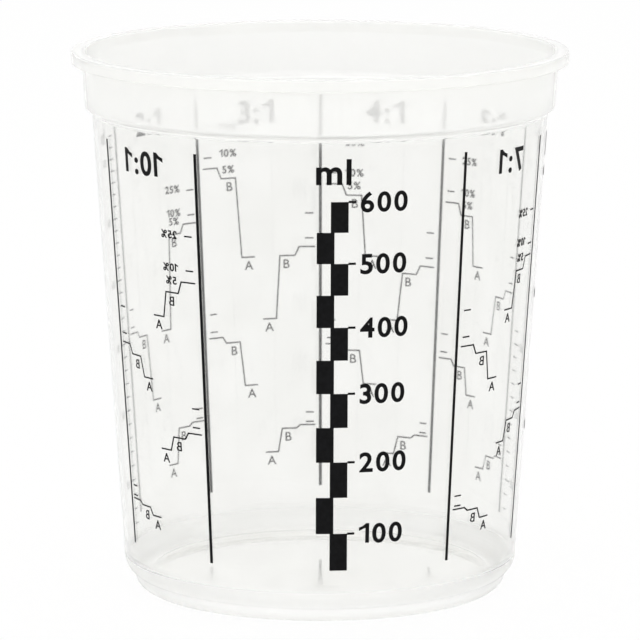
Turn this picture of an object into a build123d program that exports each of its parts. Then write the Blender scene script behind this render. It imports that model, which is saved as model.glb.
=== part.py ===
from build123d import *
import os
from math import cos, pi, radians, sin

# Resin mixing cup: one thin moulded cup with its mixing scales printed on the outside.
# Millimetres, +Z up. The origin is the centre of the circle that the cup stands on.
# Print angles run from the front (-Y) towards +X, then round the back.

os.makedirs("parts", exist_ok=True)

# Cup: radii are outside radii. Each follows from the rim's, and the collar hangs from the top.
cup_height = 120.8
rim_radius = 55.25
rim_band = 2.6
rim_plate = 0.9
rim_skirt = 0.9
rim_round = 0.35
rim_overhang = 2.35
collar_lean = 0.65
collar_drop = 12.6
collar_step = 1.61
step_drop = 0.8
inner_step_lift = 0.5
wall = 0.8
wall_lean = 7.15
wall_corner = 4.4
floor_height = 3.6
floor_thickness = 1.0
inner_corner = 5.0
foot_inset = 1.89
foot_round_share = 0.95
ring_width = 1.6

# Print: a film of ink on the cone of the wall
ink_film = 0.08
line_width = 0.32
divider_width = 0.7
divider_foot_height = 12.5
divider_gap = 4.0
top_mark_gap = 13.3
overrun = 3.0

# Panels: dividers stand at whole numbers of pitches from the middle of the front gauge
front_angle = 3.15
panel_pitch = 35.35
divider_steps = [-2, -1, 1, 2, 3, 4, 5, 6, 7]

# Marks across a ratio panel, as shares of a pitch counted from the divider they hang on
thinner_tread_share = (0.042, 0.169)
tick_share = (0.055, 0.122)
b_tread_share = (0.202, 0.324)
a_tread_share = (0.36, 0.471)

# Rungs of the fine ladders, as shares of a pitch, and the front gauge
rung_share = (0.085, 0.165)
long_rung_share = (0.085, 0.225)
mixed_rung_share = (0.46, 0.54)
spine_width = 0.8
block_width = 3.4
pointer_length = 1.6
pointer_width = 0.5

# Volumes are counted in scale steps: the top mark is six steps, about 100 ml each.
# Stairs give each ratio's panel and its number of levels, one step of part A a level.
top_mark_steps = 6
stair_panels = {10: -2, 7: 1, 5: 3, 4: 4, 3: 5, 2: 6}
stair_levels = {10: 4, 7: 4, 5: 4, 4: 4, 3: 4, 2: 3}
thinner_shares = (0.047, 0.094, 0.232)
equal_panel = 2
equal_rungs = range(3, 17)
seam_panel = 7
seam_rungs = range(2, 33)
rungs_per_step = 5
blocks_per_step = 2

# Heights and radii that follow. The wall's cone is given at the step and at the plane.
rim_underside = cup_height - rim_band
collar_foot_height = cup_height - collar_drop
step_foot_height = collar_foot_height - step_drop
divider_top_height = step_foot_height - divider_gap
top_mark_height = step_foot_height - top_mark_gap
collar_top_radius = rim_radius - rim_overhang
collar_foot_radius = collar_top_radius - collar_lean
wall_top_radius = collar_foot_radius - collar_step
wall_base_radius = wall_top_radius - wall_lean
wall_slope = wall_lean / step_foot_height
floor_underside = floor_height - floor_thickness
foot_radius = wall_base_radius - foot_inset
foot_round = foot_round_share * floor_underside
ring_outer_radius = foot_radius - foot_round
ring_inner_radius = ring_outer_radius - ring_width
ring_root = floor_height - floor_thickness / 4


def wall_radius(height):
    """Outer radius of the wall's cone at a height."""
    return wall_base_radius + wall_slope * height


floor_radius = wall_radius(floor_height) - wall
corner_area = (1 - pi / 4) * inner_corner**2
corner_loss = 2 * pi * (floor_radius - inner_corner / 4) * corner_area


def volume_below(height):
    """Volume held below a height: a frustum on the floor, less its rounded corner."""
    radius = wall_radius(height) - wall
    return pi / (3 * wall_slope) * (radius**3 - floor_radius**3) - corner_loss


def height_of(volume):
    """Height at which the cup holds a volume."""
    radius = (floor_radius**3 + (volume + corner_loss) * 3 * wall_slope / pi) ** (1 / 3)
    return floor_height + (radius - floor_radius) / wall_slope


scale_step = volume_below(top_mark_height) / top_mark_steps
print_radius = wall_radius(divider_foot_height) * cos(radians(panel_pitch)) - overrun
print_depth = wall_radius(divider_top_height) + overrun - print_radius


def print_plane(angle):
    """Upright plane inside the wall that faces out at a print angle, X along the turn."""
    out = Vector(sin(radians(angle)), -cos(radians(angle)), 0)
    along = Vector(cos(radians(angle)), sin(radians(angle)), 0)
    return Plane(origin=out * print_radius, x_dir=along, z_dir=out)


def on_plane(turn_angle, height):
    """Where a place on the wall, turned from the plane's middle, falls on that plane."""
    return (wall_radius(height) * sin(radians(turn_angle)), height)


def tick(shares, side, height):
    """Level stroke across a share of the panel, counted from the divider on one side of it."""
    start, end = (on_plane(side * (1 / 2 - share) * panel_pitch, height)[0] for share in shares)
    with Locations(((start + end) / 2, height)):
        Rectangle(abs(end - start), line_width)


def write(part, name):
    """Label a finished piece and write it to its STEP file."""
    part.label = name
    export_step(part, f"parts/{name}.step")


# Cup body: rim, collar, wall and floor, with the foot ring under them, moulded as one
with BuildPart() as cup_body:
    corner_top = floor_underside + wall_corner
    corner_start = wall_radius(corner_top) - wall_corner
    inner_top = floor_height + inner_corner
    inner_start = wall_radius(inner_top) - wall - inner_corner
    inner_collar_top = collar_top_radius - wall
    with BuildSketch(Plane.XZ):
        with BuildLine():
            Polyline((0, floor_height), (0, floor_underside), (corner_start, floor_underside))
            RadiusArc(
                (corner_start, floor_underside),
                (corner_start + wall_corner, corner_top),
                -wall_corner,
            )
            Polyline(
                (corner_start + wall_corner, corner_top),
                (wall_top_radius, step_foot_height),
                (collar_foot_radius, collar_foot_height),
                (collar_top_radius, rim_underside),
                (collar_top_radius, cup_height - rim_plate),
                (rim_radius - rim_skirt, cup_height - rim_plate),
                (rim_radius - rim_skirt, rim_underside),
                (rim_radius, rim_underside),
                (rim_radius, cup_height - rim_round),
            )
            RadiusArc(
                (rim_radius, cup_height - rim_round),
                (rim_radius - rim_round, cup_height),
                -rim_round,
            )
            Line((rim_radius - rim_round, cup_height), (inner_collar_top + rim_round, cup_height))
            RadiusArc(
                (inner_collar_top + rim_round, cup_height),
                (inner_collar_top, cup_height - rim_round),
                -rim_round,
            )
            Polyline(
                (inner_collar_top, cup_height - rim_round),
                (inner_collar_top, rim_underside),
                (collar_foot_radius - wall, collar_foot_height + inner_step_lift),
                (wall_top_radius - wall, step_foot_height + inner_step_lift),
                (inner_start + inner_corner, inner_top),
            )
            RadiusArc(
                (inner_start + inner_corner, inner_top),
                (inner_start, floor_height),
                inner_corner,
            )
            Line((inner_start, floor_height), (0, floor_height))
        make_face()
    revolve(axis=Axis.Z)
    with BuildSketch(Plane.XZ):
        with BuildLine():
            Polyline(
                (foot_radius, foot_round),
                (foot_radius, ring_root),
                (ring_inner_radius, ring_root),
                (ring_inner_radius, 0),
                (ring_outer_radius, 0),
            )
            RadiusArc((ring_outer_radius, 0), (foot_radius, foot_round), -foot_round)
        make_face()
    revolve(axis=Axis.Z)
write(cup_body.part, "cup_body")

# Film of ink all round the wall's cone, which every printed mark is cut down to
with BuildPart() as ink_shell:
    film_low = divider_foot_height - overrun
    film_high = divider_top_height + overrun
    with BuildSketch(Plane.XZ):
        with BuildLine():
            Polyline(
                (wall_radius(film_low), film_low),
                (wall_radius(film_low) + ink_film, film_low),
                (wall_radius(film_high) + ink_film, film_high),
                (wall_radius(film_high), film_high),
                close=True,
            )
        make_face()
    revolve(axis=Axis.Z)

# Divider lines between the panels
with BuildPart() as divider_lines:
    for step in divider_steps:
        with BuildSketch(print_plane(front_angle + step * panel_pitch)):
            with Locations((0, (divider_foot_height + divider_top_height) / 2)):
                Rectangle(divider_width, divider_top_height - divider_foot_height)
        extrude(amount=print_depth)
    add(ink_shell.part, mode=Mode.INTERSECT)
write(divider_lines.part, "divider_lines")

# Front gauge: a spine, blocks on alternate sides of it and a pointer at every whole step
with BuildPart() as front_gauge:
    block_count = top_mark_steps * blocks_per_step
    marks = [height_of(count / blocks_per_step * scale_step) for count in range(1, block_count + 1)]
    with BuildSketch(print_plane(front_angle)):
        with Locations((0, (marks[0] + marks[-1]) / 2)):
            Rectangle(spine_width, marks[-1] - marks[0])
        for index, (low, high) in enumerate(zip(marks, marks[1:])):
            side = -1 if index % 2 else 1
            with Locations((side * block_width / 2, (low + high) / 2)):
                Rectangle(block_width, high - low)
        for height in marks[blocks_per_step - 1 :: blocks_per_step]:
            with Locations((block_width + pointer_length / 2, height)):
                Rectangle(pointer_length, pointer_width)
    extrude(amount=print_depth)
    add(ink_shell.part, mode=Mode.INTERSECT)
write(front_gauge.part, "front_gauge")

# Stairs of the six ratios that are read step by step: thinner tread, tread B, tread A
for ratio, panel in stair_panels.items():
    panel_plane = print_plane(front_angle + (panel + 1 / 2) * panel_pitch)
    with BuildPart() as stairs:
        for level in range(1, stair_levels[ratio] + 1):
            side = -1 if level % 2 else 1
            part_a = level * scale_step
            part_b = part_a * (1 + 1 / ratio)
            thinner_heights = [height_of(part_b + share * part_a) for share in thinner_shares]
            treads = [
                (thinner_tread_share, thinner_heights[0]),
                (b_tread_share, height_of(part_b)),
                (a_tread_share, height_of(part_a)),
            ]
            corners = [
                on_plane(side * (1 / 2 - share) * panel_pitch, height)
                for shares, height in treads
                for share in shares
            ]
            with BuildSketch(panel_plane):
                with BuildLine():
                    Polyline(*corners)
                trace(line_width=line_width)
                for height in thinner_heights[1:]:
                    tick(tick_share, side, height)
            extrude(amount=print_depth)
        add(ink_shell.part, mode=Mode.INTERSECT)
    write(stairs.part, f"ratio_{ratio}_to_1_stairs")

# Equal parts: rungs for A beside the divider, and rungs for A and B together mid-panel
with BuildPart() as equal_ladder:
    with BuildSketch(print_plane(front_angle + (equal_panel + 1 / 2) * panel_pitch)):
        for rung in equal_rungs:
            part_a = rung * scale_step / rungs_per_step
            tick(rung_share if rung % rungs_per_step else long_rung_share, 1, height_of(part_a))
            tick(mixed_rung_share, 1, height_of(part_a * 2))
    extrude(amount=print_depth)
    add(ink_shell.part, mode=Mode.INTERSECT)
write(equal_ladder.part, "ratio_1_to_1_ladder")

# Volume ladder in the seam panel, beside its first divider, every fifth rung long
with BuildPart() as volume_ladder:
    with BuildSketch(print_plane(front_angle + (seam_panel + 1 / 2) * panel_pitch)):
        for rung in seam_rungs:
            height = height_of(rung * scale_step / rungs_per_step)
            tick(rung_share if rung % rungs_per_step else long_rung_share, -1, height)
    extrude(amount=print_depth)
    add(ink_shell.part, mode=Mode.INTERSECT)
write(volume_ladder.part, "volume_ladder")

millilitre = 1000.0
print("scale step, ml:", round(scale_step / millilitre, 2))
print("to the collar, ml:", round(volume_below(step_foot_height) / millilitre, 1))
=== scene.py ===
import logging
import math
from dataclasses import dataclass
from enum import Enum
from typing import Any, Iterable

import bmesh
import bpy
import numpy as np
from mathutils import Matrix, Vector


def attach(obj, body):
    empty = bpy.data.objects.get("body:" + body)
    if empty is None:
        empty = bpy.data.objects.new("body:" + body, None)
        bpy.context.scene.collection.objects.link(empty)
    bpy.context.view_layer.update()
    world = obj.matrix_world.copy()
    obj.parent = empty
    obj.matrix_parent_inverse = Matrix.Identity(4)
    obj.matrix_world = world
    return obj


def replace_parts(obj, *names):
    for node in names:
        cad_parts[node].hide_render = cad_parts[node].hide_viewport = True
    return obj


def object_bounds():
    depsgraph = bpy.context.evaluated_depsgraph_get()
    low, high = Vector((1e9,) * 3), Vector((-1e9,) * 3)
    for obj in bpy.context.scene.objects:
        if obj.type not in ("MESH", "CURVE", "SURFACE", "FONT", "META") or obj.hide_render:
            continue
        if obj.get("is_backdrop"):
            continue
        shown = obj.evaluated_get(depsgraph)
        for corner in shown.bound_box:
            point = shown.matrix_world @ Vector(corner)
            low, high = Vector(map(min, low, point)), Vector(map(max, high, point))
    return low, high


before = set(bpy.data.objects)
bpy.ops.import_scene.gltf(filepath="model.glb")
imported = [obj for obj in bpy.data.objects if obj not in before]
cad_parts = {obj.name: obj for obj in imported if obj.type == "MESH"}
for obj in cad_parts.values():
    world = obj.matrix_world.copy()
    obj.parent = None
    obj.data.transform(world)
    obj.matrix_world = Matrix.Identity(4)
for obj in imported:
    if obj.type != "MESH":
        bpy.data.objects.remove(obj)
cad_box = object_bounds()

# Looks of the resin mixing cup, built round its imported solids. Sizes are in millimetres until
# a mesh is made. Print angles run from the front (-Y) towards +X, then round the back.

log = logging.getLogger("resin_cup")

MM = 0.001
ROOT = "root"

# The sRGB curve is straight up to a knee, and a shifted power from there on.
SRGB_KNEE = 0.04045
SRGB_SLOPE = 12.92
SRGB_SHIFT = 0.055
SRGB_POWER = 2.4


def linear(colour: str) -> tuple[float, float, float, float]:
    """Turn an sRGB hex colour to linear light.

    Args:
        colour: The colour, such as "#f2f3f1".

    Returns:
        Linear red, green and blue, and a full alpha.
    """
    shares = np.array([int(colour[i : i + 2], 16) for i in (1, 3, 5)]) / 255
    curved = ((shares + SRGB_SHIFT) / (1 + SRGB_SHIFT)) ** SRGB_POWER
    light = np.where(shares <= SRGB_KNEE, shares / SRGB_SLOPE, curved)
    return (*light.tolist(), 1.0)


def add_node(
    tree: bpy.types.NodeTree, kind: str, settings: dict[str, Any] = {}, inputs: dict[Any, Any] = {}
) -> bpy.types.Node:
    """Add a node with its settings and links.

    Args:
        tree: The node tree that gets it.
        kind: The node's type.
        settings: Values for the node's own properties.
        inputs: A value, or a socket to link from, for each named or numbered input.

    Returns:
        The new node.
    """
    node = tree.nodes.new(kind)
    for name, value in settings.items():
        setattr(node, name, value)
    for name, value in inputs.items():
        if isinstance(value, bpy.types.NodeSocket):
            tree.links.new(value, node.inputs[name])
        else:
            node.inputs[name].default_value = value
    return node


def blank_tree(owner: bpy.types.ID) -> bpy.types.NodeTree:
    """Turn on a material's or a world's nodes and empty them.

    Args:
        owner: The material or the world.

    Returns:
        Its node tree, empty.
    """
    owner.use_nodes = True
    owner.node_tree.nodes.clear()
    return owner.node_tree


def per_metre(size: float) -> float:
    """Turn the millimetres from one lump of noise to the next to its scale."""
    return 1 / (size * MM)


class Zone(Enum):
    """What changes along the cup's section, as the attribute that its mesh holds it in."""

    MILK = "milk"
    DULL = "dull"


@dataclass(frozen=True)
class NaturalPolypropylene:
    """Injection-moulded natural polypropylene, as the wall of the cup.

    The mould's polish gives a clear gloss, and the plastic's own crystals scatter a little of
    the light, which is the milky veil over what stands behind it. The rim, the collar and the
    foot are milkier, and the foot is duller, as their attributes say. The clouds fade out where
    the milk is.
    """

    tint: str = "#fffffe"
    cloud_tint: str = "#f6f6f4"
    ior: float = 1.49
    roughness: tuple[float, float] = (0.035, 0.38)
    cloudless_milk: float = 0.3
    cloud_size: float = 14.0
    wave_size: float = 9.0
    wave_detail: float = 1.0
    wave_depth: float = 0.004

    def material(self) -> bpy.types.Material:
        """Make the translucent plastic, with its clouds, milky and dull zones and waves.

        Returns:
            The plastic, which reads the cup's zones from its mesh.
        """
        made = bpy.data.materials.new("natural_polypropylene")
        tree = blank_tree(made)
        milk, dull = (
            add_node(tree, "ShaderNodeAttribute", {"attribute_name": zone.value}).outputs["Fac"]
            for zone in Zone
        )
        inputs = {"Value": dull, "To Min": self.roughness[0], "To Max": self.roughness[1]}
        rough = add_node(tree, "ShaderNodeMapRange", inputs=inputs).outputs[0]
        inputs = {"Value": milk, "To Min": 1.0, "To Max": 0.0}
        clear = add_node(tree, "ShaderNodeMapRange", inputs=inputs).outputs[0]
        inputs["From Max"] = self.cloudless_milk
        cloudy = add_node(tree, "ShaderNodeMapRange", inputs=inputs).outputs[0]
        place = add_node(tree, "ShaderNodeTexCoord").outputs["Object"]
        inputs = {"Vector": place, "Scale": per_metre(self.cloud_size)}
        lumps = add_node(tree, "ShaderNodeTexNoise", inputs=inputs).outputs["Fac"]
        inputs = {0: lumps, 1: cloudy}
        cloud = add_node(tree, "ShaderNodeMath", {"operation": "MULTIPLY"}, inputs).outputs[0]
        inputs = {"Factor": cloud, 6: linear(self.tint), 7: linear(self.cloud_tint)}
        colour = add_node(tree, "ShaderNodeMix", {"data_type": "RGBA"}, inputs)
        inputs = {"Vector": place, "Scale": per_metre(self.wave_size), "Detail": self.wave_detail}
        wave = add_node(tree, "ShaderNodeTexNoise", inputs=inputs).outputs["Fac"]
        inputs = {"Height": wave, "Distance": self.wave_depth * MM}
        bump = add_node(tree, "ShaderNodeBump", inputs=inputs).outputs["Normal"]
        inputs = {
            "Base Color": colour.outputs[2], "Roughness": rough, "IOR": self.ior,
            "Transmission Weight": clear, "Normal": bump,
        }
        shader = add_node(tree, "ShaderNodeBsdfPrincipled", inputs=inputs)
        add_node(tree, "ShaderNodeOutputMaterial", inputs={"Surface": shader.outputs[0]})
        return made


@dataclass(frozen=True)
class ScreenInk:
    """Black screen-printed ink: dense and satin, a little uneven where the mesh laid it thin.

    The screen's threads leave a tooth under 0.1 mm, which is too fine to show. It is drawn
    coarser, and takes the hard edge off the ink's gloss.
    """

    dense: str = "#050506"
    thin: str = "#101012"
    roughness: tuple[float, float] = (0.38, 0.52)
    shine: float = 0.1
    mottle_size: float = 0.9
    mottle_detail: float = 3.0
    thin_range: tuple[float, float] = (0.35, 0.7)
    rough_range: tuple[float, float] = (0.3, 0.7)
    tooth_size: float = 0.25
    tooth_detail: float = 1.0
    tooth_depth: float = 0.006
    tooth_strength: float = 0.6

    def material(self) -> bpy.types.Material:
        """Make the ink, with its mottle and its fine tooth.

        Returns:
            The ink.
        """
        made = bpy.data.materials.new("black_screen_ink")
        tree = blank_tree(made)
        place = add_node(tree, "ShaderNodeTexCoord").outputs["Object"]
        mottle, tooth = (
            add_node(
                tree, "ShaderNodeTexNoise",
                inputs={"Vector": place, "Scale": per_metre(size), "Detail": detail},
            ).outputs["Fac"]
            for size, detail in (
                (self.mottle_size, self.mottle_detail), (self.tooth_size, self.tooth_detail),
            )
        )
        low, high = self.thin_range
        inputs = {"Value": mottle, "From Min": low, "From Max": high}
        share = add_node(tree, "ShaderNodeMapRange", inputs=inputs).outputs[0]
        inputs = {"Factor": share, 6: linear(self.dense), 7: linear(self.thin)}
        colour = add_node(tree, "ShaderNodeMix", {"data_type": "RGBA"}, inputs)
        inputs = {
            "Value": mottle, "From Min": self.rough_range[0], "From Max": self.rough_range[1],
            "To Min": self.roughness[0], "To Max": self.roughness[1],
        }
        rough = add_node(tree, "ShaderNodeMapRange", inputs=inputs).outputs[0]
        inputs = {
            "Height": tooth, "Distance": self.tooth_depth * MM, "Strength": self.tooth_strength,
        }
        bump = add_node(tree, "ShaderNodeBump", inputs=inputs).outputs["Normal"]
        inputs = {
            "Base Color": colour.outputs[2], "Roughness": rough,
            "Specular IOR Level": self.shine, "Normal": bump,
        }
        shader = add_node(tree, "ShaderNodeBsdfPrincipled", inputs=inputs)
        add_node(tree, "ShaderNodeOutputMaterial", inputs={"Surface": shader.outputs[0]})
        return made


@dataclass(frozen=True)
class WhiteTable:
    """Matt white table top: it shows as the white ground, and keeps a faint shadow."""

    paint: str = "#f4f4f2"
    tones: tuple[float, float] = (0.97, 1.0)
    ground_share: float = 0.92
    speck_size: float = 3.0

    def material(self) -> bpy.types.Material:
        """Make the table's paint, mostly the plain white ground for what looks at it.

        Returns:
            The paint.
        """
        made = bpy.data.materials.new("white_table")
        tree = blank_tree(made)
        place = add_node(tree, "ShaderNodeTexCoord").outputs["Object"]
        inputs = {"Vector": place, "Scale": per_metre(self.speck_size)}
        speck = add_node(tree, "ShaderNodeTexNoise", inputs=inputs).outputs["Fac"]
        inputs = {"Value": speck, "To Min": self.tones[0], "To Max": self.tones[1]}
        tone = add_node(tree, "ShaderNodeMapRange", inputs=inputs).outputs[0]
        inputs = {"Vector": linear(self.paint)[:3], "Scale": tone}
        paint = add_node(tree, "ShaderNodeVectorMath", {"operation": "SCALE"}, inputs)
        matt = add_node(tree, "ShaderNodeBsdfDiffuse", inputs={"Color": paint.outputs[0]})
        ground = add_node(tree, "ShaderNodeEmission")
        path = add_node(tree, "ShaderNodeLightPath").outputs
        seen = path["Is Camera Ray"]
        for other in ("Is Glossy Ray", "Is Transmission Ray"):
            inputs = {0: seen, 1: path[other]}
            seen = add_node(tree, "ShaderNodeMath", {"operation": "MAXIMUM"}, inputs).outputs[0]
        inputs = {0: seen, 1: self.ground_share}
        share = add_node(tree, "ShaderNodeMath", {"operation": "MULTIPLY"}, inputs).outputs[0]
        inputs = {0: share, 1: matt.outputs[0], 2: ground.outputs[0]}
        both = add_node(tree, "ShaderNodeMixShader", inputs=inputs)
        add_node(tree, "ShaderNodeOutputMaterial", inputs={"Surface": both.outputs[0]})
        return made


def mesh_object(
    name: str, points: np.ndarray, faces: Iterable[Iterable[int]], finish: bpy.types.Material
) -> bpy.types.Object:
    """Make an object at the origin from points in millimetres.

    Args:
        name: The object's name.
        points: The vertices, one row each.
        faces: The faces' vertex numbers, turned outwards.
        finish: The material.

    Returns:
        The object, shaded smooth, in the scene.
    """
    mesh = bpy.data.meshes.new(name)
    mesh.from_pydata((points * MM).tolist(), [], [list(face) for face in faces])
    mesh.polygons.foreach_set("use_smooth", np.ones(len(mesh.polygons), bool))
    mesh.materials.append(finish)
    mesh.update()
    made = bpy.data.objects.new(name, mesh)
    bpy.context.scene.collection.objects.link(made)
    return made


def rounded(corners: np.ndarray, steps: int = 8, same: float = 1e-6) -> np.ndarray:
    """Round the corners of an open line.

    A corner of radius r, where the line turns through an inner angle of 2h, is left r / tan(h)
    before it and joined again as far after it, by an arc about the point r / sin(h) up its
    bisector. A point of the arc is the turn, in equal angles, from the first spoke to the last.

    Args:
        corners: Rows of radius, height and the corner's rounding.
        steps: Parts in each arc.
        same: Millimetres apart at which two points count as one.

    Returns:
        The rounded line's points, each once.
    """
    spots, rounds = corners[1:-1, :2], corners[1:-1, 2:]
    back, ahead = corners[:-2, :2] - spots, corners[2:, :2] - spots
    back /= np.linalg.norm(back, axis=1, keepdims=True)
    ahead /= np.linalg.norm(ahead, axis=1, keepdims=True)
    half = np.arccos(np.clip((back * ahead).sum(1, keepdims=True), -1, 1)) / 2
    middle = (back + ahead) / np.linalg.norm(back + ahead, axis=1, keepdims=True)
    centre = spots + middle * rounds / np.sin(half)
    first = spots + back * rounds / np.tan(half) - centre
    last = spots + ahead * rounds / np.tan(half) - centre
    turn = np.pi - 2 * half[:, :, None]
    share = np.linspace(0, 1, steps + 1)[None, :, None]
    arcs = np.sin((1 - share) * turn) * first[:, None] + np.sin(share * turn) * last[:, None]
    line = (centre[:, None] + arcs / np.sin(turn)).reshape(-1, 2)
    line = np.vstack([corners[:1, :2], line, corners[-1:, :2]])
    moved = np.linalg.norm(np.diff(line, axis=0), axis=1) > same
    return line[np.concatenate([[True], moved])]


def with_rows(
    line: np.ndarray, apart: float = 4.0, edge: float = 0.12, long: float = 0.48,
    least: float = 0.03,
) -> np.ndarray:
    """Add points along a line's long runs, and one close to each end of them.

    Args:
        line: The line's points.
        apart: Most millimetres between two points.
        edge: Millimetres from a run's end to the point that holds its shading flat.
        long: Millimetres from which a run gets those points.
        least: Fewest millimetres between two points.

    Returns:
        The line with the added points, which lie on it.
    """
    run = np.linalg.norm(np.diff(line, axis=0), axis=1)
    along = np.concatenate([[0], np.cumsum(run)])
    held = run > long
    extra = [along[:-1][held] + edge, along[1:][held] - edge, np.arange(0, along[-1], apart)]
    places = np.unique(np.round(np.concatenate([along, *extra]), 4))
    places = places[np.concatenate([[True], np.diff(places) > least])]
    return np.column_stack([np.interp(places, along, line[:, side]) for side in (0, 1)])


def lathe(profile: np.ndarray, segments: int) -> tuple[np.ndarray, list[tuple[int, ...]]]:
    """Turn a profile about the Z axis.

    A point at radius r, height z and angle t is (r sin t, -r cos t, z). The profile starts and
    ends on the axis, where each end is one vertex that a fan of triangles closes on.

    Args:
        profile: Rows of radius and height, from the axis to the axis.
        segments: Parts in a full turn.

    Returns:
        The points and the faces.
    """
    turn = np.linspace(0, 2 * np.pi, segments, endpoint=False)
    radius, height = profile[1:-1, :1], profile[1:-1, 1:]
    rings = np.stack(
        [radius * np.sin(turn), -radius * np.cos(turn), np.repeat(height, segments, 1)], -1
    )
    ends = [[0, 0, profile[0, 1]], [0, 0, profile[-1, 1]]]
    points = np.vstack([rings.reshape(-1, 3), ends])
    count = len(profile) - 2
    index = np.arange(count * segments).reshape(count, segments)
    after = np.roll(index, -1, axis=1)
    quads = np.stack([index[:-1], index[1:], after[1:], after[:-1]], -1).reshape(-1, 4)
    first, last = np.full(segments, count * segments), np.full(segments, count * segments + 1)
    fans = [np.stack([first, index[0], after[0]], 1), np.stack([index[-1], last, after[-1]], 1)]
    return points, quads.tolist() + np.vstack(fans).tolist()


@dataclass(frozen=True)
class PrintedWall:
    """The wall's cone, where the print lies on it, and the volumes that it holds.

    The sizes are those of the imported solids, in millimetres.
    """

    base_radius: float = 43.49
    top_radius: float = 50.64
    top_height: float = 107.4
    wall: float = 0.8
    floor_height: float = 3.6
    floor_corner: float = 5.0
    front_angle: float = 3.15
    pitch: float = 35.35
    top_mark: float = 94.1
    top_mark_steps: int = 6

    @property
    def slope(self) -> float:
        """Radius gained for each millimetre of height."""
        return (self.top_radius - self.base_radius) / self.top_height

    def radius(self, height: Any) -> Any:
        """Outer radius at a height, or at each of an array of heights."""
        return self.base_radius + self.slope * height

    @property
    def corner_loss(self) -> float:
        """Volume that the floor's rounded corner takes from a plain frustum.

        Its section is a square less a quarter circle, with its middle about a quarter of the
        corner's radius from the wall.

        Returns:
            The volume.
        """
        area = (1 - math.pi / 4) * self.floor_corner**2
        arm = self.radius(self.floor_height) - self.wall - self.floor_corner / 4
        return 2 * math.pi * arm * area

    def volume_below(self, height: float) -> float:
        """Volume held below a height: a frustum on the floor, less its rounded corner."""
        low, high = (self.radius(z) - self.wall for z in (self.floor_height, height))
        return math.pi / (3 * self.slope) * (high**3 - low**3) - self.corner_loss

    def height_of(self, steps: float) -> float:
        """Work out the height at which the cup holds a number of scale steps.

        Args:
            steps: The steps, which may be parts of one.

        Returns:
            The height.
        """
        volume = steps * self.volume_below(self.top_mark) / self.top_mark_steps
        low = self.radius(self.floor_height) - self.wall
        high = (low**3 + (volume + self.corner_loss) * 3 * self.slope / math.pi) ** (1 / 3)
        return self.floor_height + (high - low) / self.slope

    def panel_angle(self, panel: int, side: int, share: float) -> float:
        """Print angle a share of a panel from its divider on one side, 1 being the later one."""
        return self.front_angle + (panel + 1 / 2 + side * (1 / 2 - share)) * self.pitch


class Reads(Enum):
    """The side that a label is read from, as the sign of its turn along the print angle."""

    OUTSIDE = 1
    INSIDE = -1


class Align(Enum):
    """Where a label's place is on it, as a share of its length."""

    MIDDLE = 0.5
    START = 0.0


class Weight(Enum):
    """How bold a label is, as the width of an upright stroke in shares of a capital's height."""

    LIGHT = 0.145
    BOLD = 0.19


@dataclass(frozen=True)
class Label:
    """One printed word or figure. Height is that of its middle line, and cap a capital's."""

    text: str
    angle: float
    height: float
    cap: float
    weight: Weight = Weight.LIGHT
    reads: Reads = Reads.INSIDE
    align: Align = Align.MIDDLE


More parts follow.
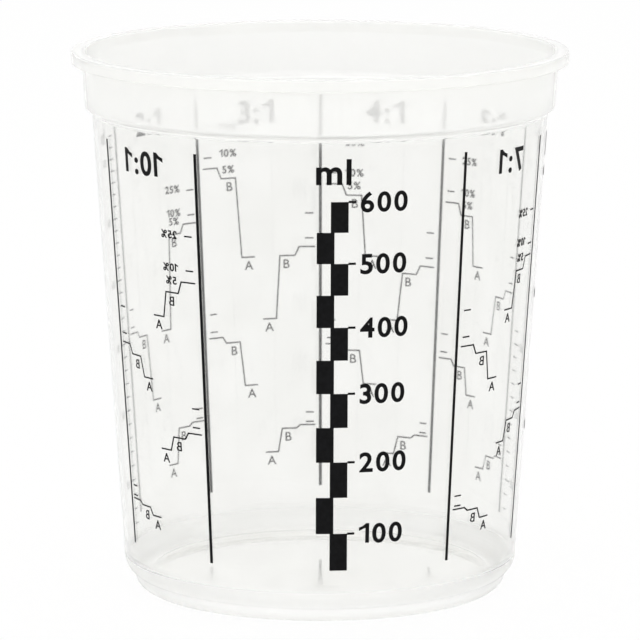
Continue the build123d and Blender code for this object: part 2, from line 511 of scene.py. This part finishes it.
@dataclass(frozen=True)
class Lettering:
    """Printed words and figures, wrapped on the wall as one closed film each.

    The built-in letters are used, but for a one, which has a flag here. Widths, gaps and the
    one's corners are shares of a capital's height, its slant is a share of its stroke, and its
    bend a share of the flag's reach.
    """

    wall: PrintedWall
    ink: bpy.types.Material
    film: float = 0.08
    sunk: float = 0.015
    cap_share: float = 0.729
    drawn_stroke: float = 0.125
    widen: float = 1.04
    gap: float = 0.16
    one_width: float = 0.42
    one_slant: float = 0.85
    one_bend: float = 0.6
    flag_heights: tuple[float, float, float, float] = (0.62, 0.79, 0.86, 0.77)
    curve_parts: int = 5
    sharp_angle: float = 40.0
    merge: float = 0.001

    def drawn(self, letter: str, label: Label) -> tuple[np.ndarray, list[list[int]]]:
        """Make a built-in letter's flat solid, its outline thickened for the label's weight.

        Args:
            letter: The letter.
            label: The label that it is part of.

        Returns:
            The points in millimetres and the faces.
        """
        curve = bpy.data.curves.new("lettering", "FONT")
        curve.body = letter
        curve.size = label.cap / self.cap_share
        curve.resolution_u = self.curve_parts
        curve.offset = (label.weight.value - self.drawn_stroke) * label.cap / 2
        curve.extrude = (self.film + self.sunk) / 2
        holder = bpy.data.objects.new("lettering", curve)
        mesh = bpy.data.meshes.new_from_object(holder)
        bpy.data.objects.remove(holder)
        bpy.data.curves.remove(curve)
        flat = np.empty(len(mesh.vertices) * 3, np.float32)
        mesh.vertices.foreach_get("co", flat)
        faces = [list(face.vertices) for face in mesh.polygons]
        bpy.data.meshes.remove(mesh)
        return flat.reshape(-1, 3) * [self.widen, 1, 1], faces

    def flagged_one(self, letter: str, label: Label) -> tuple[np.ndarray, list[list[int]]]:
        """Make a flat solid one: an upright stroke with a flag that falls to its left.

        Args:
            letter: The one, which is drawn the same in every label.
            label: The label that it is part of.

        Returns:
            The points in millimetres and the faces.
        """
        stroke, wide = label.weight.value, self.one_width + label.weight.value / 2
        stem = wide - stroke
        low, high, bend, root = self.flag_heights
        outline = np.array([
            (stem, 0), (wide, 0), (wide, 1), (wide - self.one_slant * stroke, 1),
            (stem * self.one_bend, bend), (0, high), (0, low), (stem, root),
        ]) * label.cap
        half, count = (self.film + self.sunk) / 2, len(outline)
        sides = [np.column_stack([outline, np.full(count, depth)]) for depth in (-half, half)]
        ring = np.arange(count)
        after = np.roll(ring, -1)
        walls = np.stack([ring, after, after + count, ring + count], 1).tolist()
        caps = [ring[::-1].tolist(), (ring + count).tolist()]
        return np.vstack(sides), walls + caps

    def flat(self, label: Label) -> tuple[np.ndarray, list[list[int]]]:
        """Set a label's letters side by side, each a gap past the one before.

        Args:
            label: The label.

        Returns:
            The points in millimetres, in the XY plane and as thick as the film, and the faces.
        """
        parts, faces, pen, start = [], [], 0.0, 0
        for letter in label.text:
            make = self.flagged_one if letter == "1" else self.drawn
            points, more = make(letter, label)
            points = points + [pen - points[:, 0].min(), 0, 0]
            pen = points[:, 0].max() + self.gap * label.cap
            faces += [[start + corner for corner in face] for face in more]
            parts.append(points)
            start += len(points)
        length = pen - self.gap * label.cap
        return np.vstack(parts) - [length * label.align.value, 0, 0], faces

    def wrapped(self, label: Label) -> tuple[np.ndarray, list[list[int]]]:
        """Wrap a label's mesh on the wall.

        A point x along the label and y above its middle line goes to the height h + y and the
        angle a + x / r(h), at the wall's radius there plus its depth in the film.

        Args:
            label: The label.

        Returns:
            The points and the faces, which may still be turned inwards.
        """
        flat, faces = self.flat(label)
        along, above, depth = flat.T
        height = label.height + above - label.cap / 2
        step = label.reads.value * along / self.wall.radius(label.height)
        angle = math.radians(label.angle) + step
        radius = self.wall.radius(height) + depth + (self.film - self.sunk) / 2
        return np.stack([radius * np.sin(angle), -radius * np.cos(angle), height], 1), faces

    def build(self, name: str, labels: Iterable[Label]) -> bpy.types.Object:
        """Print some labels as one piece.

        Args:
            name: The piece's name.
            labels: What it says and where.

        Returns:
            The piece, riding on the cup.
        """
        parts, faces, start = [], [], 0
        for label in labels:
            points, more = self.wrapped(label)
            faces += [[start + corner for corner in face] for face in more]
            parts.append(points)
            start += len(points)
        made = mesh_object(name, np.vstack(parts), faces, self.ink)
        work = bmesh.new()
        work.from_mesh(made.data)
        bmesh.ops.remove_doubles(work, verts=work.verts, dist=self.merge * MM)
        bmesh.ops.recalc_face_normals(work, faces=work.faces)
        work.to_mesh(made.data)
        work.free()
        made.data.set_sharp_from_angle(angle=math.radians(self.sharp_angle))
        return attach(made, ROOT)


@dataclass(frozen=True)
class RatioPanel:
    """Lettering of one mixing ratio's panel, read from inside through the wall.

    The lifts are how many millimetres each percentage is printed above its volume's height.
    """

    ratio: int
    panel: int
    levels: int
    lifts: tuple[float, float, float]
    title_height: float = 100.1
    title_cap: float = 5.3
    letter_cap: float = 2.15
    letter_drop: float = 1.85
    a_share: float = 0.4185
    b_share: float = 0.2715
    percent_share: float = 0.265
    percent_cap: float = 1.75
    percents: tuple[tuple[str, float], ...] = (("5%", 0.047), ("10%", 0.094), ("25%", 0.232))

    def labels(self, wall: PrintedWall) -> list[Label]:
        """List the panel's title, its letters under the treads and its percentages.

        Args:
            wall: The wall that they are printed on.

        Returns:
            The labels.
        """
        middle = wall.panel_angle(self.panel, 0, 0)
        title = f"{self.ratio}:1"
        found = [Label(title, middle, self.title_height, self.title_cap, Weight.BOLD)]
        for level in range(1, self.levels + 1):
            side = -1 if level % 2 else 1
            both = level * (1 + 1 / self.ratio)
            for letter, steps, share in (("A", level, self.a_share), ("B", both, self.b_share)):
                angle = wall.panel_angle(self.panel, side, share)
                height = wall.height_of(steps) - self.letter_drop
                found.append(Label(letter, angle, height, self.letter_cap))
        angle = wall.panel_angle(self.panel, side, self.percent_share)
        for (text, share), lift in zip(self.percents, self.lifts):
            height = wall.height_of(both + share * level) + lift
            found.append(Label(text, angle, height, self.percent_cap, Weight.BOLD))
        return found

    def build(self, lettering: Lettering) -> bpy.types.Object:
        """Print the panel's lettering."""
        name = f"ratio_{self.ratio}_to_1_lettering"
        return lettering.build(name, self.labels(lettering.wall))


# Ratio, panel, levels and the lifts of 5%, 10% and 25%.
RATIO_PANELS = (
    (10, -2, 4, (0.15, 0.4, 0.1)),
    (7, 1, 4, (0.2, 1.0, 0.0)),
    (5, 3, 4, (-0.1, 0.15, -0.05)),
    (4, 4, 4, (-0.3, 0.15, -0.2)),
    (3, 5, 4, (-0.4, 0.85, -0.65)),
    (2, 6, 3, (1.0, 0.95, 0.7)),
)


@dataclass(frozen=True)
class EqualPanel:
    """Figures of the equal-parts panel: part A by the divider, both parts mid-panel."""

    panel: int = 2
    title_height: float = 100.1
    title_cap: float = 5.3
    figure_cap: float = 1.9
    a_share: float = 0.32
    both_share: float = 0.62
    whole_steps: tuple[int, ...] = (1, 2, 3)

    def build(self, lettering: Lettering) -> bpy.types.Object:
        """Print the title and the figures beside the whole steps.

        Args:
            lettering: What prints them.

        Returns:
            The piece.
        """
        wall = lettering.wall
        middle = wall.panel_angle(self.panel, 0, 0)
        found = [Label("1:1", middle, self.title_height, self.title_cap, Weight.BOLD)]
        for steps in self.whole_steps:
            for share, count in ((self.a_share, steps), (self.both_share, 2 * steps)):
                angle = wall.panel_angle(self.panel, 1, share)
                found.append(Label(f"{count}00", angle, wall.height_of(count), self.figure_cap))
        return lettering.build("ratio_1_to_1_lettering", found)


@dataclass(frozen=True)
class VolumeFigures:
    """Figures of the volume ladder in the seam panel."""

    panel: int = 7
    title_height: float = 100.1
    title_cap: float = 3.6
    figure_cap: float = 1.9
    figure_share: float = 0.36
    steps: int = 6

    def build(self, lettering: Lettering) -> bpy.types.Object:
        """Print the unit and the figures beside the long rungs.

        Args:
            lettering: What prints them.

        Returns:
            The piece.
        """
        wall = lettering.wall
        middle = wall.panel_angle(self.panel, -1, self.figure_share)
        found = [Label("ml", middle, self.title_height, self.title_cap, Weight.BOLD)]
        for steps in range(1, self.steps + 1):
            found.append(Label(f"{steps}00", middle, wall.height_of(steps), self.figure_cap))
        return lettering.build("volume_lettering", found)


@dataclass(frozen=True)
class GaugeFigures:
    """Bold figures of the front gauge, read from outside."""

    figure_cap: float = 4.4
    figure_start: float = 6.0
    unit_cap: float = 5.6
    unit_start: float = -3.6
    unit_height: float = 100.8
    steps: int = 6

    def build(self, lettering: Lettering) -> bpy.types.Object:
        """Print the figures beside the pointers, and the unit over them.

        Args:
            lettering: What prints them.

        Returns:
            The piece.
        """
        wall = lettering.wall

        def label(text: str, start: float, height: float, cap: float) -> Label:
            """Place a label that starts some millimetres right of the gauge's middle."""
            angle = wall.front_angle + math.degrees(start / wall.radius(height))
            return Label(text, angle, height, cap, Weight.BOLD, Reads.OUTSIDE, Align.START)

        found = [label("ml", self.unit_start, self.unit_height, self.unit_cap)]
        for steps in range(1, self.steps + 1):
            height = wall.height_of(steps)
            found.append(label(f"{steps}00", self.figure_start, height, self.figure_cap))
        return lettering.build("gauge_lettering", found)


@dataclass(frozen=True)
class MouldedCup:
    """The moulded cup: rim, collar, wall, floor and foot ring, in one closed surface.

    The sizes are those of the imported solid, in millimetres, with the edges that the mould
    leaves rounded. The wall stands a hair outside the solid's, so that the ink sits in it.
    """

    wall: PrintedWall
    plastic: bpy.types.Material
    height: float = 120.8
    rim_radius: float = 55.25
    rim_band: float = 2.6
    rim_plate: float = 0.9
    rim_skirt: float = 0.9
    rim_round: float = 0.35
    skirt_round: float = 0.3
    groove_round: float = 0.25
    collar_top_radius: float = 52.9
    collar_foot_radius: float = 52.25
    collar_foot: float = 108.2
    collar_bend: float = 2.0
    inner_step_lift: float = 0.5
    step_round: float = 1.2
    thickness: float = 0.8
    wall_corner: float = 4.4
    corner_points: int = 15
    floor_thickness: float = 1.0
    foot_radius: float = 41.6
    foot_round: float = 2.47
    ring_width: float = 1.6
    ring_round: float = 0.3
    recess_round: float = 0.5
    skin: float = 0.02
    segments: int = 256
    collar_zone: tuple[float, float] = (106.0, 108.0)
    step_zone: tuple[float, float, float, float] = (106.6, 107.3, 108.5, 109.2)
    foot_zone: tuple[float, float] = (6.0, 10.0)
    foot_reach: tuple[float, float] = (37.6, 39.0)
    floor_zone: tuple[float, float] = (8.0, 12.0)
    wall_milk: float = 0.025
    collar_milk: float = 0.47
    step_milk: float = 0.5
    foot_milk: float = 0.3
    collar_dull: float = 0.1

    def profile(self) -> np.ndarray:
        """Work out the cup's half section, from the inside of the floor to its underside.

        Straight runs with rounded corners, and one arc where the wall turns under: about a
        centre one corner radius inside the wall, it ends where it meets the foot ring.

        Returns:
            Rows of radius and height.
        """
        wall, top = self.wall, self.height
        under = top - self.rim_band
        inner = [
            [0, wall.floor_height, 0],
            [wall.radius(wall.floor_height) - self.thickness, wall.floor_height, wall.floor_corner],
            [
                wall.top_radius - self.thickness,
                wall.top_height + self.inner_step_lift, self.step_round,
            ],
            [
                self.collar_foot_radius - self.thickness,
                self.collar_foot + self.inner_step_lift, self.step_round,
            ],
            [self.collar_top_radius - self.thickness, under, self.collar_bend],
            [self.collar_top_radius - self.thickness, top, self.rim_round],
        ]
        rim = [
            [self.rim_radius, top, self.rim_round],
            [self.rim_radius, under, self.skirt_round],
            [self.rim_radius - self.rim_skirt, under, self.skirt_round],
            [self.rim_radius - self.rim_skirt, top - self.rim_plate, self.groove_round],
            [self.collar_top_radius, top - self.rim_plate, self.groove_round],
            [self.collar_top_radius, under, self.collar_bend],
            [self.collar_foot_radius, self.collar_foot, self.step_round],
            [wall.top_radius + self.skin, wall.top_height, self.step_round],
        ]
        underside = wall.floor_height - self.floor_thickness
        lean = math.atan(wall.slope)
        centre_height = underside + self.wall_corner
        centre = wall.radius(centre_height) + self.skin - self.wall_corner / math.cos(lean)
        end = -math.acos((self.foot_radius - centre) / self.wall_corner)
        turn = np.linspace(-lean, end, self.corner_points)
        arc = np.stack([np.cos(turn), np.sin(turn)], 1) * self.wall_corner
        arc += [centre, centre_height]
        ring = self.foot_radius - self.foot_round - self.ring_width
        foot = [
            [*arc[-1], 0],
            [self.foot_radius, 0, self.foot_round],
            [ring, 0, self.ring_round],
            [ring, underside, self.recess_round],
            [0, underside, 0],
        ]
        upper = rounded(np.array(inner + rim + [[*arc[0], 0]]))
        return with_rows(np.vstack([upper, arc[1:-1], rounded(np.array(foot))]))

    def zones(self, profile: np.ndarray) -> dict[Zone, np.ndarray]:
        """Say how milky and how dull the plastic is along the section.

        Each zone's share runs straight between the heights where it is 0 and 1. The collar's
        zone takes in the rim. It is milky on both sides, and the step and the foot on the
        outside only. The foot is dull on both sides, and its zone leaves out the floor.

        Args:
            profile: Rows of radius and height.

        Returns:
            For each zone, a share from 0 to 1 for each row.
        """
        radius, height = profile.T
        outside = np.arange(len(height)) > np.argmax(height)
        collar = np.interp(height, self.collar_zone, (0, 1))
        step = np.interp(height, self.step_zone, (0, 1, 1, 0)) * outside
        foot = np.interp(height, self.foot_zone, (1, 0))
        foot = foot * np.interp(radius, self.foot_reach, (0, 1))
        floor = np.interp(height, self.floor_zone, (1, 0))
        wall = (1 - collar) * (1 - floor)
        milk = [
            self.wall_milk * wall, self.collar_milk * collar, self.step_milk * step,
            self.foot_milk * foot * outside,
        ]
        dull = np.maximum(self.collar_dull * collar * outside, foot)
        return {Zone.MILK: np.max(milk, 0), Zone.DULL: dull}

    def build(self) -> bpy.types.Object:
        """Turn the profile to the cup, which stands for the moulded solid.

        Returns:
            The piece, with its zones on its mesh.
        """
        profile = self.profile()
        points, faces = lathe(profile, self.segments)
        made = mesh_object("moulded_cup", points, faces, self.plastic)
        for zone, share in self.zones(profile).items():
            held = made.data.attributes.new(zone.value, "FLOAT", "POINT")
            each = np.concatenate([np.repeat(share[1:-1], self.segments), share[[0, -1]]])
            held.data.foreach_set("value", each.astype(np.float32))
        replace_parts(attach(made, ROOT), "cup_body")
        return made


@dataclass(frozen=True)
class PrintedScales:
    """The printed marks, which are the frame's own solids and only get their ink."""

    ink: bpy.types.Material

    def build(self) -> list[bpy.types.Object]:
        """Put the ink on every node of the frame but the moulded cup.

        Returns:
            The nodes.
        """
        marks = [made for name, made in sorted(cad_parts.items()) if name != "cup_body"]
        for made in marks:
            for held in made.material_slots:
                held.material = self.ink
        return marks


@dataclass(frozen=True)
class Softbox:
    """One lamp: a box of even light, aimed at the middle of the cup."""

    name: str
    place: tuple[float, float, float]
    size: tuple[float, float]
    brightness: float

    def build(self, aim: tuple[float, float, float] = (0.0, 0.0, 0.06)) -> bpy.types.Object:
        """Make the lamp. Its power is its brightness times its area times pi.

        Args:
            aim: The point that it faces, in metres.

        Returns:
            The lamp.
        """
        lamp = bpy.data.lights.new(self.name, "AREA")
        lamp.shape = "RECTANGLE"
        lamp.size, lamp.size_y = self.size
        lamp.energy = self.brightness * self.size[0] * self.size[1] * math.pi
        made = bpy.data.objects.new(self.name, lamp)
        made.location = self.place
        ray = np.array(aim) - np.array(self.place)
        flat = math.hypot(ray[0], ray[1])
        made.rotation_euler = (math.atan2(flat, -ray[2]), 0, math.atan2(-ray[0], ray[1]))
        made.visible_camera = False
        made.visible_transmission = False
        bpy.context.scene.collection.objects.link(made)
        return made


@dataclass(frozen=True)
class Studio:
    """White table, soft lamps, white surroundings and the camera of the photograph."""

    white: str = "#ffffff"
    table_half: float = 4.0
    bounces: int = 64
    softboxes: tuple[Softbox, ...] = (
        Softbox("left_softbox", (-0.73, -1.19, 0.50), (0.22, 1.0), 1.3),
        Softbox("right_softbox", (0.50, -1.31, 0.50), (0.30, 1.0), 1.3),
        Softbox("top_softbox", (0.0, 0.15, 1.30), (1.0, 0.8), 0.9),
    )
    camera_place: tuple[float, float, float] = (0.0, -1.1102, 0.2595)
    camera_tilt: float = 79.796
    lens: float = 283.35
    sensor: float = 36.0

    def table(self) -> bpy.types.Object:
        """Lay the table top, a square that reaches out of the picture.

        Returns:
            The table top.
        """
        half = self.table_half / MM
        points = np.array([[-half, -half, 0], [half, -half, 0], [half, half, 0], [-half, half, 0]])
        made = mesh_object("table_top", points, [[0, 1, 2, 3]], WhiteTable().material())
        made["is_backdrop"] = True
        return made

    def surroundings(self) -> None:
        """Make the world plain white."""
        world = bpy.data.worlds.new("white_surroundings")
        bpy.context.scene.world = world
        tree = blank_tree(world)
        ground = add_node(tree, "ShaderNodeBackground", inputs={"Color": linear(self.white)})
        add_node(tree, "ShaderNodeOutputWorld", inputs={"Surface": ground.outputs[0]})

    def camera(self) -> bpy.types.Object:
        """Set up the camera as the photograph's rim and foot show it.

        Returns:
            The camera.
        """
        lens = bpy.data.cameras.new("photo_camera")
        lens.lens, lens.sensor_width = self.lens, self.sensor
        made = bpy.data.objects.new("photo_camera", lens)
        made.location = self.camera_place
        made.rotation_euler = (math.radians(self.camera_tilt), 0, 0)
        bpy.context.scene.collection.objects.link(made)
        bpy.context.scene.camera = made
        return made

    def build(self) -> None:
        """Set the scene: camera, table, surroundings and lamps.

        The light may go round inside the plastic many times, and scatter there on its way.
        """
        self.camera()
        self.table()
        self.surroundings()
        for lamp in self.softboxes:
            lamp.build()
        bpy.context.scene.view_settings.view_transform = "Standard"
        cycles = bpy.context.scene.cycles
        for limit in ("max", "diffuse", "glossy", "transmission"):
            setattr(cycles, f"{limit}_bounces", self.bounces)
        cycles.caustics_refractive = cycles.caustics_reflective = True
        cycles.blur_glossy = 0.0


def main() -> None:
    """Build the cup, its print and the studio, and work out the two boxes."""
    logging.basicConfig(level=logging.INFO, format="%(name)s: %(message)s")
    Studio().build()
    wall = PrintedWall()
    ink = ScreenInk().material()
    cup = MouldedCup(wall, NaturalPolypropylene().material())
    lettering = Lettering(wall, ink)
    pieces = [cup.build(), *PrintedScales(ink).build()]
    panels = [RatioPanel(*row) for row in RATIO_PANELS]
    for part in (*panels, EqualPanel(), VolumeFigures(), GaugeFigures()):
        pieces.append(part.build(lettering))
    for piece in pieces:
        log.info("%s: %d faces", piece.name, len(piece.data.polygons))
    boxes = {"cad": cad_box, "visual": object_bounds()}
    {name: [list(corner) for corner in box] for name, box in boxes.items()}


if __name__ == "__main__":
    main()
